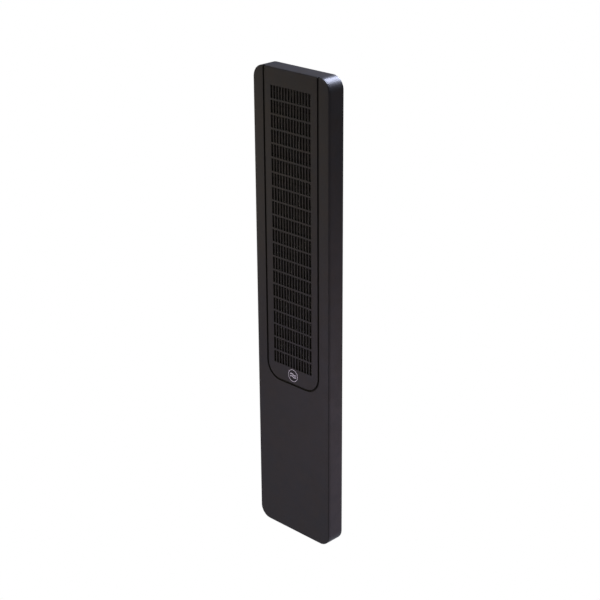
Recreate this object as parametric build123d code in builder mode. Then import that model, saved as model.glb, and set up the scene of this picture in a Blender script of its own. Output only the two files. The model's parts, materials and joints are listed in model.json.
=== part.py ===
"""Slim wall-hung air purifier: a flat panel with a lift-off grille, a filter and a blower."""
from build123d import *
import math
import os

os.makedirs("parts", exist_ok=True)

# ---------------------------------------------------------------- driving dimensions, mm
# The wall is the plane y = 0. A distance in front of the wall is called a height, h, so
# the front face is at h = DEPTH, which is y = -DEPTH. x is across and z is up.
WIDTH = 202.0
HEIGHT = 1000.0
DEPTH = 42.0
CORNER_R = 26.0
EDGE_R = 2.5
SOFT_EDGE = 0.5

WALL = 2.5
BACK_H = 0.8
HOUSING_FRONT_H = 37.2
LIP_T = 2.0
LIP_FRONT_H = 38.7
LIP_ROOT_H = 31.0

COVER_T = 2.5
COVER_RIM = 2.3
COVER_BACK_H = 37.6
COVER_INNER_H = DEPTH - COVER_T

GROOVE_X = 72.3
GROOVE_W = 4.4
GROOVE_R = 35.0
GROOVE_BOTTOM = -154.0
LEDGE_T = 1.8
LEDGE_REACH = 8.0
RETURN_T = 2.0
OPEN_TOP = HEIGHT / 2 - WALL - LIP_T - 0.7

PANEL_T = 3.0
PANEL_BACK_H = DEPTH - PANEL_T
SLOT_COLUMNS = 14
SLOT_ROWS = 20
SLOT_PITCH_X = 7.77
SLOT_PITCH_Z = 29.3
SLOT_W = 5.7
SLOT_H = 25.6
SLOT_MID_Z = 174.0
PEG_X = 67.3
PEG_Z = (-20.0, 330.0)
PEG_R = 1.4
PEG_TIP_H = 35.4
MAGNET_Z = (-105.0, 155.0, 440.0)
MAGNET_R = 2.5
MAGNET_T = 2.0
STRIKE_T = 1.0

BADGE_Z = -133.5
BADGE_R = 13.5
BADGE_RECESS = 1.0
BADGE_BASE_T = 0.6

CHASSIS_H = 14.5
CHASSIS_T = 2.0
CHASSIS_FRONT_H = CHASSIS_H + CHASSIS_T
CHASSIS_SCREW_X = 75.0
CHASSIS_SCREW_Z = (0.0, 300.0)
CHASSIS_SCREW_TIP_H = 9.0
WELL_X = 61.0
WELL_BOTTOM = -123.0
WELL_TOP = 477.0
WELL_T = 2.0
WELL_RIM_H = 38.3
WINDOW_EDGE = 8.0
WINDOW_BAR = 6.0

FILTER_GAP = 1.0
FILTER_WALL = 2.0
FILTER_BACK_H = 18.0
FILTER_FRONT_H = 36.0
GASKET_T = 1.0
CARBON_T = 2.6
CARBON_BACK_H = 18.4
PLEAT_BACK_H = 21.6
PLEAT_DEPTH = 11.8
PLEAT_PITCH = 6.0
PLEAT_SHEET = 2.0
PREFILTER_T = 2.2
MESH_T = 0.5

WHEEL_X = -12.0
WHEEL_Z = -285.0
WHEEL_R = 66.0
WHEEL_EYE_R = 53.0
BLADE_COUNT = 36
BLADE_T = 1.1
SPIRAL_STEP = 5.5
SPIRAL_R = 88.5
TONGUE_ANGLE = 50.0
SCROLL_T = 2.0
SCROLL_BACK_H = 16.7
SCROLL_FRONT_H = 38.5
INLET_R = 50.0
DUCT_LEFT = 6.0
DUCT_RIGHT = 70.0
DUCT_END_Z = -495.0

SHAFT_R = 1.5
SHAFT_GAP = 0.02
BEARING_R = 4.0
BEARING_W = 4.0
BEARING_TUBE_R = 5.0
STATOR_R = 18.0
STATOR_TEETH = 9
ROTOR_R = 22.0
ROTOR_T = 1.2
MOTOR_BASE_R = 25.0
MOTOR_BASE_T = 1.5

BOSS_X = 87.0
BOSS_Z = (-468.0, -160.0, 160.0, 468.0)
BOSS_R = 4.5
SCREW_R = 1.5
SCREW_HEAD_R = 3.0
RECESS_DEEP = 0.5

POCKET_W = 104.0
POCKET_H = 204.0
POCKET_FLOOR_H = 4.8
BRACKET_T = 1.5
BRACKET_W = 96.0
BRACKET_H = 196.0
WALL_HOLE_R = 2.75
WALL_HOLE_DX = 70.0
WALL_HOLE_DZ = 160.0
HOOK_W = 12.0
HOOK_X = 24.0
HOOK_Z = 50.0
HOOK_RISE = 9.0
PAD_R = 7.0
PAD_T = 2.0
PAD_X = 80.0
PAD_Z = 430.0

BOTTOM_MID_H = 23.9
INLET_X = -58.0
INLET_W = 25.0
INLET_D = 13.0
INLET_DEEP = 18.0
PIN_SPACING = 8.6
PIN_R = 1.2
ROCKER_X = -32.0
ROCKER_W = 19.0
ROCKER_D = 13.0
ROCKER_TILT = 9.0
BUTTON_X = -10.0
BUTTON_R = 4.0
BUTTON_GAP = 0.3
BUTTON_TRAVEL = 1.2
LOUVRE_X = 38.0
LOUVRE_W = 60.0
LOUVRE_D = 15.5
LOUVRE_SLATS = 9
LOUVRE_MID_H = 26.5

POWER_BOARD = (-44.0, -418.0, 72.0, 92.0)
CONTROL_BOARD = (-2.0, -178.0, 116.0, 28.0)
BOARD_H = 19.0
BOARD_T = 1.6
WIRE_R = 0.8

HALF_H = HEIGHT / 2
BOTTOM_IN = -HALF_H + WALL
SCREW_SPOTS = [(x, z) for x in (-BOSS_X, BOSS_X) for z in BOSS_Z]
CHASSIS_SPOTS = [(x, z) for x in (-CHASSIS_SCREW_X, CHASSIS_SCREW_X) for z in CHASSIS_SCREW_Z]
PAD_SPOTS = [(x, z) for x in (-PAD_X, PAD_X) for z in (-PAD_Z, PAD_Z)]
PEG_SPOTS = [(x, z) for x in (-PEG_X, PEG_X) for z in PEG_Z]
MAGNET_SPOTS = [(x, z) for x in (-PEG_X, PEG_X) for z in MAGNET_Z]


# ---------------------------------------------------------------- shared sketches
def depth(h):
    """The plane that faces the front at height h off the wall: x across, z up."""
    return Plane.XZ.offset(h)


def floor_plane(z):
    """A level plane whose local axes are x and y."""
    return Plane.XY.offset(z)


def body_outline(inset, mode=Mode.ADD):
    """The rounded front outline of the whole product, drawn in by inset."""
    RectangleRounded(WIDTH - 2 * inset, HEIGHT - 2 * inset, CORNER_R - inset, mode=mode)


def panel_outline(inset, top):
    """The U-shaped panel face, in by inset from the groove's middle, flat at top."""
    half = GROOVE_X - inset
    bottom = GROOVE_BOTTOM + inset
    radius = GROOVE_R - inset
    with BuildSketch() as panel_face:
        with BuildLine():
            Line((-half, top), (-half, bottom + radius))
            RadiusArc((-half, bottom + radius), (-half + radius, bottom), -radius)
            Line((-half + radius, bottom), (half - radius, bottom))
            RadiusArc((half - radius, bottom), (half, bottom + radius), -radius)
            Line((half, bottom + radius), (half, top))
            Line((half, top), (-half, top))
        make_face()
    return panel_face.sketch


def save(builder, label, colour):
    """Name a finished piece, colour it and write its file."""
    builder.part.label = label
    builder.part.color = Color(*colour)
    export_step(builder.part, f"parts/{label}.step")


def save_screws(label, spots, head, shank, colour):
    """Write a group of identical screws along y. head and shank are pairs of heights.

    The cross recess is cut in the end of the head that is away from the shank.
    """
    outward = shank[0] > head[0]
    recess_h = head[0] if outward else head[1]
    with BuildPart() as group:
        with BuildSketch(depth(head[0])):
            with Locations(*spots):
                Circle(SCREW_HEAD_R)
        extrude(amount=head[1] - head[0])
        with BuildSketch(depth(shank[0])):
            with Locations(*spots):
                Circle(SCREW_R)
        extrude(amount=shank[1] - shank[0])
        with BuildSketch(depth(recess_h)):
            with Locations(*spots):
                Rectangle(3.0, 0.7)
                Rectangle(0.7, 3.0)
        extrude(amount=RECESS_DEEP if outward else -RECESS_DEEP, mode=Mode.SUBTRACT)
    save(group, label, colour)


def save_wires(label, routes, bend, colour):
    """Write round wires, each along its own list of points (x, h, z)."""
    with BuildPart() as bundle:
        for route in routes:
            points = [Vector(x, -h, z) for x, h, z in route]
            with BuildLine() as path:
                FilletPolyline(*points, radius=bend)
            with BuildSketch(path.line ^ 0):
                Circle(WIRE_R)
            sweep(path=path.line)
    save(bundle, label, colour)


BLACK = (0.07, 0.07, 0.07)
DARK = (0.16, 0.16, 0.17)
GREY = (0.45, 0.45, 0.47)
STEEL = (0.72, 0.72, 0.75)
BRASS = (0.8, 0.65, 0.3)
COPPER = (0.75, 0.4, 0.2)
WHITE = (0.92, 0.92, 0.9)
GREEN = (0.1, 0.4, 0.2)
RUBBER = (0.1, 0.1, 0.1)

# ---------------------------------------------------------------- rear housing
# A tray, open to the front, with a lip that the cover slips over, the pocket for the wall
# bracket, screw bosses, and the openings of the bottom wall.
with BuildPart() as rear_housing:
    with BuildSketch(depth(BACK_H)):
        body_outline(0)
    extrude(amount=HOUSING_FRONT_H - BACK_H)
    fillet(rear_housing.faces().sort_by(Axis.Y)[-1].edges(), EDGE_R)
    with BuildSketch(depth(BACK_H + WALL)):
        body_outline(WALL)
    extrude(amount=DEPTH, mode=Mode.SUBTRACT)
    with BuildSketch(depth(LIP_ROOT_H)):
        body_outline(WALL)
        body_outline(WALL + LIP_T, mode=Mode.SUBTRACT)
    extrude(amount=LIP_FRONT_H - LIP_ROOT_H)
    with BuildSketch(depth(BACK_H + WALL)):
        RectangleRounded(POCKET_W + 2 * WALL, POCKET_H + 2 * WALL, 8.0)
    extrude(amount=POCKET_FLOOR_H - BACK_H)
    with BuildSketch(depth(BACK_H)):
        RectangleRounded(POCKET_W, POCKET_H, 6.0)
    extrude(amount=POCKET_FLOOR_H - BACK_H, mode=Mode.SUBTRACT)
    with BuildSketch(depth(BACK_H)):
        with GridLocations(2 * HOOK_X, 2 * HOOK_Z, 2, 2):
            with Locations((0, 3.0)):
                Rectangle(HOOK_W + 2.0, HOOK_RISE + 6.0)
    extrude(amount=DEPTH, mode=Mode.SUBTRACT)
    with BuildSketch(depth(BACK_H + WALL)):
        with Locations(*SCREW_SPOTS):
            Circle(BOSS_R)
    extrude(amount=CHASSIS_H - BACK_H - WALL)
    with BuildSketch(depth(BACK_H)):
        with Locations(*SCREW_SPOTS):
            Circle(SCREW_HEAD_R + 0.4)
    extrude(amount=6.0 - BACK_H, mode=Mode.SUBTRACT)
    with BuildSketch(depth(BACK_H)):
        with Locations(*SCREW_SPOTS):
            Circle(SCREW_R + 0.2)
    extrude(amount=DEPTH, mode=Mode.SUBTRACT)
    with BuildSketch(depth(BACK_H + WALL)):
        with Locations(*CHASSIS_SPOTS):
            Circle(BOSS_R - 0.5)
    extrude(amount=CHASSIS_H - BACK_H - WALL)
    with BuildSketch(depth(CHASSIS_SCREW_TIP_H - 0.5)):
        with Locations(*CHASSIS_SPOTS):
            Circle(SCREW_R)
    extrude(amount=DEPTH, mode=Mode.SUBTRACT)
    with BuildSketch(depth(BACK_H)):
        with Locations(*PAD_SPOTS):
            Circle(PAD_R)
    extrude(amount=PAD_T - BACK_H, mode=Mode.SUBTRACT)
    with BuildSketch(floor_plane(-HALF_H)):
        with Locations((INLET_X, -BOTTOM_MID_H)):
            RectangleRounded(INLET_W, INLET_D, 2.0)
        with Locations((ROCKER_X, -BOTTOM_MID_H)):
            Rectangle(ROCKER_W, ROCKER_D)
        with Locations((BUTTON_X, -BOTTOM_MID_H)):
            Circle(BUTTON_R + BUTTON_GAP)
    extrude(amount=WALL, mode=Mode.SUBTRACT)
    with BuildSketch(floor_plane(-HALF_H)):
        with Locations((LOUVRE_X, -LOUVRE_MID_H)):
            RectangleRounded(LOUVRE_W, LOUVRE_D, 2.0)
    extrude(amount=WALL + LIP_T, mode=Mode.SUBTRACT)
save(rear_housing, "rear_housing", BLACK)

# ---------------------------------------------------------------- front cover
# A shallow shell with the U-shaped opening, whose edge turns in to a ledge that the grille
# panel lies on. Eight bosses take the housing screws.
with BuildPart() as front_cover:
    with BuildSketch(depth(COVER_BACK_H)):
        body_outline(0)
    extrude(amount=DEPTH - COVER_BACK_H)
    fillet(front_cover.faces().sort_by(Axis.Y)[0].edges(), EDGE_R)
    with BuildSketch(depth(COVER_BACK_H)):
        body_outline(COVER_RIM)
    extrude(amount=COVER_INNER_H - COVER_BACK_H, mode=Mode.SUBTRACT)
    with BuildSketch(depth(LIP_FRONT_H - LEDGE_T)):
        add(panel_outline(-GROOVE_W / 2 - RETURN_T, OPEN_TOP))
    extrude(amount=COVER_INNER_H - LIP_FRONT_H + LEDGE_T)
    with BuildSketch(depth(LIP_FRONT_H)):
        add(panel_outline(-GROOVE_W / 2, HALF_H + 1.0))
    extrude(amount=DEPTH, mode=Mode.SUBTRACT)
    with BuildSketch(depth(LIP_FRONT_H - LEDGE_T)):
        add(panel_outline(LEDGE_REACH, HALF_H + 1.0))
        with Locations((0, HALF_H)):
            Rectangle(2 * GROOVE_X + GROOVE_W, 2 * (HALF_H - OPEN_TOP))
    extrude(amount=DEPTH, mode=Mode.SUBTRACT)
    with BuildSketch(depth(LIP_FRONT_H - STRIKE_T)):
        with Locations(*MAGNET_SPOTS):
            Circle(MAGNET_R)
    extrude(amount=STRIKE_T, mode=Mode.SUBTRACT)
    with BuildSketch(depth(LIP_FRONT_H - LEDGE_T)):
        with Locations(*PEG_SPOTS):
            Circle(PEG_R + 0.4)
    extrude(amount=LEDGE_T, mode=Mode.SUBTRACT)
    with BuildSketch(depth(CHASSIS_FRONT_H + 0.2)):
        with Locations(*SCREW_SPOTS):
            Circle(BOSS_R - 0.5)
    extrude(until=Until.NEXT)
    with BuildSketch(depth(CHASSIS_FRONT_H)):
        with Locations(*SCREW_SPOTS):
            Circle(SCREW_R)
    extrude(amount=15.0, mode=Mode.SUBTRACT)
save(front_cover, "front_cover", BLACK)

with BuildPart() as magnet_strikes:
    with BuildSketch(depth(LIP_FRONT_H - STRIKE_T)):
        with Locations(*MAGNET_SPOTS):
            Circle(MAGNET_R)
    extrude(amount=STRIKE_T)
save(magnet_strikes, "magnet_strikes", STEEL)

# ---------------------------------------------------------------- grille panel
# It lies flush in the cover, a groove's width clear of it, and closes the top edge.
with BuildPart() as grille_panel:
    with BuildSketch(depth(PANEL_BACK_H)):
        add(panel_outline(GROOVE_W / 2, HALF_H))
    extrude(amount=PANEL_T)
    with BuildSketch(depth(COVER_BACK_H)):
        with Locations((0, HALF_H - COVER_RIM / 2)):
            Rectangle(2 * GROOVE_X - GROOVE_W, COVER_RIM)
    extrude(amount=PANEL_BACK_H - COVER_BACK_H)
    front_edges = grille_panel.faces().sort_by(Axis.Y)[0].edges()
    fillet(front_edges.sort_by(Axis.Z)[-1], EDGE_R)
    front_edges = grille_panel.faces().sort_by(Axis.Y)[0].edges()
    fillet(front_edges.sort_by(Axis.Z)[:-1], SOFT_EDGE)
    with BuildSketch(depth(PANEL_BACK_H)):
        with Locations((0, SLOT_MID_Z)):
            with GridLocations(SLOT_PITCH_X, SLOT_PITCH_Z, SLOT_COLUMNS, SLOT_ROWS):
                Rectangle(SLOT_W, SLOT_H)
    extrude(amount=PANEL_T, mode=Mode.SUBTRACT)
    with BuildSketch(depth(DEPTH - BADGE_RECESS)):
        with Locations((0, BADGE_Z)):
            Circle(BADGE_R)
    extrude(amount=BADGE_RECESS, mode=Mode.SUBTRACT)
    with BuildSketch(depth(PANEL_BACK_H)):
        with Locations(*MAGNET_SPOTS):
            Circle(MAGNET_R)
    extrude(amount=MAGNET_T, mode=Mode.SUBTRACT)
    with BuildSketch(depth(PEG_TIP_H)):
        with Locations(*PEG_SPOTS):
            Circle(PEG_R)
    extrude(amount=PANEL_BACK_H - PEG_TIP_H)
save(grille_panel, "grille_panel", BLACK)

with BuildPart() as panel_magnets:
    with BuildSketch(depth(PANEL_BACK_H)):
        with Locations(*MAGNET_SPOTS):
            Circle(MAGNET_R)
    extrude(amount=MAGNET_T)
save(panel_magnets, "panel_magnets", STEEL)

# A round badge with a plain ring and two broad air waves.
BADGE_H = DEPTH - BADGE_RECESS

with BuildPart() as badge_base:
    with BuildSketch(depth(BADGE_H)):
        with Locations((0, BADGE_Z)):
            Circle(BADGE_R)
    extrude(amount=BADGE_BASE_T)
save(badge_base, "badge_base", DARK)

BADGE_RIM = 1.3
WAVE_HALF = 4.0
WAVE_RISE = 1.3
WAVE_GAP = 5.0
WAVE_T = 2.8


def wave(z):
    """One air wave as a line of two equal humps, the second upside down."""
    crest = (-WAVE_HALF, z + WAVE_RISE)
    trough = (WAVE_HALF, z - WAVE_RISE)
    ThreePointArc((-2 * WAVE_HALF, z), crest, (0, z))
    ThreePointArc((0, z), trough, (2 * WAVE_HALF, z))


with BuildPart() as badge_emblem:
    with BuildSketch(depth(BADGE_H + BADGE_BASE_T)):
        with Locations((0, BADGE_Z)):
            Circle(BADGE_R)
            Circle(BADGE_R - BADGE_RIM, mode=Mode.SUBTRACT)
        for step in (-0.5, 0.5):
            with BuildLine() as wave_line:
                wave(BADGE_Z + step * WAVE_GAP)
            trace(wave_line.line, WAVE_T)
    extrude(amount=BADGE_RECESS - BADGE_BASE_T)
save(badge_emblem, "badge_emblem", STEEL)

# ---------------------------------------------------------------- chassis
# The middle plate divides the filter and blower in front from the air path behind. The
# filter stands in a well, on the plate's ledge, and air passes through its windows.
WELL_MID_Z = (WELL_TOP + WELL_BOTTOM) / 2
WELL_SIZE = (2 * WELL_X, WELL_TOP - WELL_BOTTOM)
WINDOW_COUNT = 3
WINDOW_ROOM = WELL_SIZE[1] - 2 * WINDOW_EDGE
WINDOW_PITCH = (WINDOW_ROOM + WINDOW_BAR) / WINDOW_COUNT
SCROLL_EARS = [
    (WHEEL_X - 59.5, WHEEL_Z + 65.0),
    (WHEEL_X + 68.9, WHEEL_Z + 63.4),
    (WHEEL_X - 61.0, WHEEL_Z - 55.6),
    (78.5, -430.0),
    (11.5, -430.0),
]


def board_spots(board):
    """The four screw points of a circuit board given as centre x, z, width, height."""
    x, z, width, height = board
    across = width / 2 - 4.0
    up = height / 2 - 4.0
    return [(x + i * across, z + j * up) for i in (-1, 1) for j in (-1, 1)]


BOARD_SPOTS = board_spots(POWER_BOARD) + board_spots(CONTROL_BOARD)

with BuildPart() as chassis:
    with BuildSketch(depth(CHASSIS_H)):
        body_outline(WALL + 0.5)
    extrude(amount=CHASSIS_T)
    with BuildSketch(depth(CHASSIS_FRONT_H)):
        with Locations((0, WELL_MID_Z)):
            Rectangle(WELL_SIZE[0] + 2 * WELL_T, WELL_SIZE[1] + 2 * WELL_T)
            Rectangle(WELL_SIZE[0], WELL_SIZE[1], mode=Mode.SUBTRACT)
    extrude(amount=WELL_RIM_H - CHASSIS_FRONT_H)
    with BuildSketch(depth(CHASSIS_H)):
        with Locations((0, WELL_MID_Z)):
            with GridLocations(0, WINDOW_PITCH, 1, WINDOW_COUNT):
                Rectangle(WELL_SIZE[0] - 2 * WINDOW_EDGE, WINDOW_PITCH - WINDOW_BAR)
        with Locations((WHEEL_X, WHEEL_Z)):
            Circle(INLET_R + SCROLL_T)
        with Locations(*SCREW_SPOTS):
            Circle(SCREW_R + 0.5)
        with Locations(*SCROLL_EARS, *CHASSIS_SPOTS):
            Circle(SCREW_R)
    extrude(amount=CHASSIS_T, mode=Mode.SUBTRACT)
    with BuildSketch(depth(CHASSIS_FRONT_H)):
        with Locations(*BOARD_SPOTS):
            Circle(3.0)
    extrude(amount=BOARD_H - CHASSIS_FRONT_H)
    with BuildSketch(depth(CHASSIS_H)):
        with Locations(*BOARD_SPOTS):
            Circle(SCREW_R)
    extrude(amount=BOARD_H - CHASSIS_H, mode=Mode.SUBTRACT)
save(chassis, "chassis", DARK)

# ---------------------------------------------------------------- filter cartridge
FRAME_W = WELL_SIZE[0] - 2 * FILTER_GAP
FRAME_H = WELL_SIZE[1] - 2 * FILTER_GAP
INSIDE_W = FRAME_W - 2 * FILTER_WALL
INSIDE_H = FRAME_H - 2 * FILTER_WALL


def frame_ring(width, height, border):
    """A rectangular ring centred on the filter well."""
    with BuildSketch() as ring:
        with Locations((0, WELL_MID_Z)):
            Rectangle(width, height)
            Rectangle(width - 2 * border, height - 2 * border, mode=Mode.SUBTRACT)
    return ring.sketch


with BuildPart() as filter_frame:
    with BuildSketch(depth(FILTER_BACK_H)):
        add(frame_ring(FRAME_W, FRAME_H, FILTER_WALL))
    extrude(amount=FILTER_FRONT_H - FILTER_BACK_H)
save(filter_frame, "filter_frame", WHITE)

with BuildPart() as filter_gasket:
    with BuildSketch(depth(FILTER_BACK_H - GASKET_T)):
        add(frame_ring(FRAME_W - 1.0, FRAME_H - 1.0, 5.0))
    extrude(amount=GASKET_T)
save(filter_gasket, "filter_gasket", RUBBER)

with BuildPart() as carbon_pad:
    with BuildSketch(depth(CARBON_BACK_H)):
        with Locations((0, WELL_MID_Z)):
            Rectangle(INSIDE_W, INSIDE_H)
    extrude(amount=CARBON_T)
save(carbon_pad, "carbon_pad", DARK)

PLEAT_COUNT = int(INSIDE_H / PLEAT_PITCH) - 1
PLEAT_START = WELL_MID_Z - PLEAT_COUNT * PLEAT_PITCH / 2


def pleat_points(back_h):
    """Fold points (y, z) of one side of the pleated sheet, whose back folds are at back_h."""
    points = []
    for fold in range(2 * PLEAT_COUNT + 1):
        h = back_h + (fold % 2) * PLEAT_DEPTH
        points.append((-h, PLEAT_START + fold * PLEAT_PITCH / 2))
    return points


with BuildPart() as pleat_pack:
    with BuildSketch(Plane.YZ.offset(-INSIDE_W / 2)):
        with BuildLine():
            rear_side = pleat_points(PLEAT_BACK_H)
            front_side = pleat_points(PLEAT_BACK_H + PLEAT_SHEET)
            Polyline(*rear_side, *reversed(front_side), close=True)
        make_face()
    extrude(amount=INSIDE_W)
save(pleat_pack, "pleat_pack", WHITE)

MESH_BORDER = 4.0
MESH_BARS_X = 2
MESH_BARS_Z = 11

with BuildPart() as prefilter_frame:
    with BuildSketch(depth(FILTER_FRONT_H)):
        add(frame_ring(FRAME_W, FRAME_H, MESH_BORDER))
    extrude(amount=PREFILTER_T)
    with BuildSketch(depth(FILTER_FRONT_H)):
        with Locations((0, WELL_MID_Z)):
            with GridLocations(FRAME_W / (MESH_BARS_X + 1), 0, MESH_BARS_X, 1):
                Rectangle(1.6, FRAME_H - MESH_BORDER)
            with GridLocations(0, FRAME_H / (MESH_BARS_Z + 1), 1, MESH_BARS_Z):
                Rectangle(FRAME_W - MESH_BORDER, 1.6)
    extrude(amount=PREFILTER_T - MESH_T)
save(prefilter_frame, "prefilter_frame", DARK)

with BuildPart() as prefilter_mesh:
    with BuildSketch(depth(FILTER_FRONT_H + PREFILTER_T - MESH_T)):
        with Locations((0, WELL_MID_Z)):
            Rectangle(FRAME_W - 2 * MESH_BORDER, FRAME_H - 2 * MESH_BORDER)
    extrude(amount=MESH_T)
save(prefilter_mesh, "prefilter_mesh", BLACK)

TAB_W = 16.0
TAB_H = 42.0
TAB_T = 0.4

with BuildPart() as pull_tab:
    with BuildSketch(depth(FILTER_FRONT_H + PREFILTER_T)):
        with Locations((0, WELL_BOTTOM + FILTER_GAP + TAB_H / 2)):
            RectangleRounded(TAB_W, TAB_H, 3.0)
    extrude(amount=TAB_T)
save(pull_tab, "pull_tab", GREY)

# ---------------------------------------------------------------- blower casing
MOTOR_SPOTS_R = 20.0
MOTOR_SPOT_ANGLES = [math.radians(angle) for angle in (90, 210, 330)]
MOTOR_SPOTS = [
    (WHEEL_X + MOTOR_SPOTS_R * math.cos(angle), WHEEL_Z + MOTOR_SPOTS_R * math.sin(angle))
    for angle in MOTOR_SPOT_ANGLES
]
CABLE_W = 8.0
CABLE_T = 0.4
CABLE_X = 20.0
CABLE_H = SCROLL_FRONT_H + 0.2
CABLE_START_Z = WHEEL_Z + 30.0

EAR_TALL = 5.3

# The spiral is four quarter arcs, each SPIRAL_STEP smaller than the one before, whose
# centres are the corners of a small square round the wheel's axis.


def scroll_cavity():
    """The blower's air space: a spiral round the wheel and a duct down to the outlet."""
    half = SPIRAL_STEP / 2
    centres = [(half, -half), (half, half), (-half, half), (-half, -half)]
    radii = [SPIRAL_R - i * SPIRAL_STEP for i in range(4)]
    starts = [0.0, 90.0, 180.0, 270.0]
    sweeps = [90.0, 90.0, 90.0, 90.0 - TONGUE_ANGLE]
    with BuildSketch() as cavity:
        with BuildLine() as border:
            for centre, radius, start, turn in zip(centres, radii, starts, sweeps):
                at = (WHEEL_X + centre[0], WHEEL_Z + centre[1])
                last_arc = CenterArc(at, radius, start, turn)
            right_point = (WHEEL_X + half + SPIRAL_R, WHEEL_Z - half)
            Polyline(last_arc @ 1, (DUCT_LEFT, DUCT_END_Z), (DUCT_RIGHT, DUCT_END_Z), right_point)
        make_face()
    return cavity.sketch


with BuildPart() as scroll_housing:
    with BuildSketch(depth(SCROLL_BACK_H)):
        add(scroll_cavity())
        offset(amount=SCROLL_T, kind=Kind.INTERSECTION)
        split(bisect_by=Plane.XZ.offset(-DUCT_END_Z), keep=Keep.BOTTOM)
    extrude(amount=SCROLL_FRONT_H - SCROLL_BACK_H)
    with BuildSketch(depth(SCROLL_BACK_H)):
        with Locations(*SCROLL_EARS):
            Circle(BOSS_R)
    extrude(amount=EAR_TALL)
    with BuildSketch(depth(SCROLL_BACK_H)):
        add(scroll_cavity())
    extrude(amount=SCROLL_FRONT_H - SCROLL_T - SCROLL_BACK_H, mode=Mode.SUBTRACT)
    with BuildSketch(depth(SCROLL_BACK_H)):
        with Locations(*SCROLL_EARS):
            Circle(SCREW_R + 0.2)
    extrude(amount=EAR_TALL, mode=Mode.SUBTRACT)
    with BuildSketch(depth(SCROLL_FRONT_H - SCROLL_T)):
        with Locations(*MOTOR_SPOTS):
            Circle(SCREW_R)
        with Locations((CABLE_X, CABLE_START_Z)):
            Rectangle(CABLE_W + 1.0, 2.0)
    extrude(amount=SCROLL_T, mode=Mode.SUBTRACT)
save(scroll_housing, "scroll_housing", GREY)

with BuildPart() as inlet_ring:
    with BuildSketch(depth(CHASSIS_H - 1.5)):
        with Locations((WHEEL_X, WHEEL_Z)):
            Circle(INLET_R + 8.0)
            Circle(INLET_R, mode=Mode.SUBTRACT)
    extrude(amount=1.5)
    with BuildSketch(depth(CHASSIS_H)):
        with Locations((WHEEL_X, WHEEL_Z)):
            Circle(INLET_R + SCROLL_T)
            Circle(INLET_R, mode=Mode.SUBTRACT)
    extrude(amount=4.0)
    mouth = inlet_ring.edges().filter_by(GeomType.CIRCLE).group_by(Axis.Y)[-1]
    fillet(mouth.sort_by(SortBy.RADIUS)[0], 1.2)
save(inlet_ring, "inlet_ring", GREY)

# ---------------------------------------------------------------- fan wheel
WHEEL_FRONT_H = 33.0
WHEEL_DISC_T = 1.5
BLADE_FRONT_H = WHEEL_FRONT_H - WHEEL_DISC_T
BLADE_BACK_H = 19.0
SHROUD_T = 1.4
HUB_T = 2.2
ROTOR_BACK_H = 22.5
ROTOR_FRONT_H = 34.0


def ring(outer, inner):
    """A flat ring on the wheel's axis."""
    with Locations((WHEEL_X, WHEEL_Z)):
        Circle(outer)
        if inner > 0:
            Circle(inner, mode=Mode.SUBTRACT)


def blade_section():
    """One forward-curved blade seen along the axis, on a wheel centred on the origin."""
    with BuildSketch() as blade:
        with BuildLine() as blade_line:
            ThreePointArc((WHEEL_EYE_R + 0.8, 0), (WHEEL_EYE_R + 7.0, -1.2), (WHEEL_R - 0.8, -5.6))
        trace(blade_line.line, BLADE_T)
    return blade.sketch


with BuildPart() as fan_wheel:
    with BuildSketch(depth(BLADE_FRONT_H)):
        ring(WHEEL_R, ROTOR_R)
    extrude(amount=WHEEL_DISC_T)
    with BuildSketch(depth(ROTOR_BACK_H - 1.5)):
        ring(ROTOR_R + HUB_T, 0)
    extrude(amount=WHEEL_FRONT_H - ROTOR_BACK_H + 1.5)
    with BuildSketch(depth(ROTOR_BACK_H)):
        ring(ROTOR_R, 0)
    extrude(amount=DEPTH, mode=Mode.SUBTRACT)
    with BuildSketch(depth(BLADE_BACK_H)):
        with Locations((WHEEL_X, WHEEL_Z)):
            with PolarLocations(0, BLADE_COUNT):
                add(blade_section())
    extrude(amount=BLADE_FRONT_H - BLADE_BACK_H)
    with BuildSketch(depth(BLADE_BACK_H - SHROUD_T)):
        ring(WHEEL_R, WHEEL_EYE_R)
    extrude(amount=SHROUD_T)
save(fan_wheel, "fan_wheel", GREY)

with BuildPart() as rotor_cup:
    with BuildSketch(depth(ROTOR_BACK_H)):
        ring(ROTOR_R, 0)
    extrude(amount=ROTOR_FRONT_H - ROTOR_BACK_H)
    with BuildSketch(depth(ROTOR_BACK_H + 1.5)):
        ring(ROTOR_R - ROTOR_T, BEARING_R)
    extrude(amount=DEPTH, mode=Mode.SUBTRACT)
    with BuildSketch(depth(ROTOR_BACK_H + 2.9)):
        ring(BEARING_R, 0)
    extrude(amount=DEPTH, mode=Mode.SUBTRACT)
    with BuildSketch(depth(ROTOR_BACK_H)):
        ring(SHAFT_R, 0)
    extrude(amount=DEPTH, mode=Mode.SUBTRACT)
save(rotor_cup, "rotor_cup", STEEL)

with BuildPart() as rotor_magnet:
    with BuildSketch(depth(ROTOR_BACK_H + 2.5)):
        ring(ROTOR_R - ROTOR_T, STATOR_R + 0.6)
    extrude(amount=8.5)
save(rotor_magnet, "rotor_magnet", DARK)

with BuildPart() as motor_shaft:
    with BuildSketch(depth(ROTOR_BACK_H)):
        ring(SHAFT_R, 0)
    extrude(amount=34.9 - ROTOR_BACK_H)
save(motor_shaft, "motor_shaft", STEEL)

# ---------------------------------------------------------------- motor, fixed side
MOTOR_BASE_H = SCROLL_FRONT_H - SCROLL_T - MOTOR_BASE_T
TUBE_END_H = 25.7
BEARING_BACK_HS = (25.9, 30.8)
CORE_H = 26.5
CORE_T = 6.0
COIL_OVER = 1.0
TOOTH_W = 3.0
TOOTH_IN = 7.5
TOOTH_OUT = 15.6
COIL_W = 5.4

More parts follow.
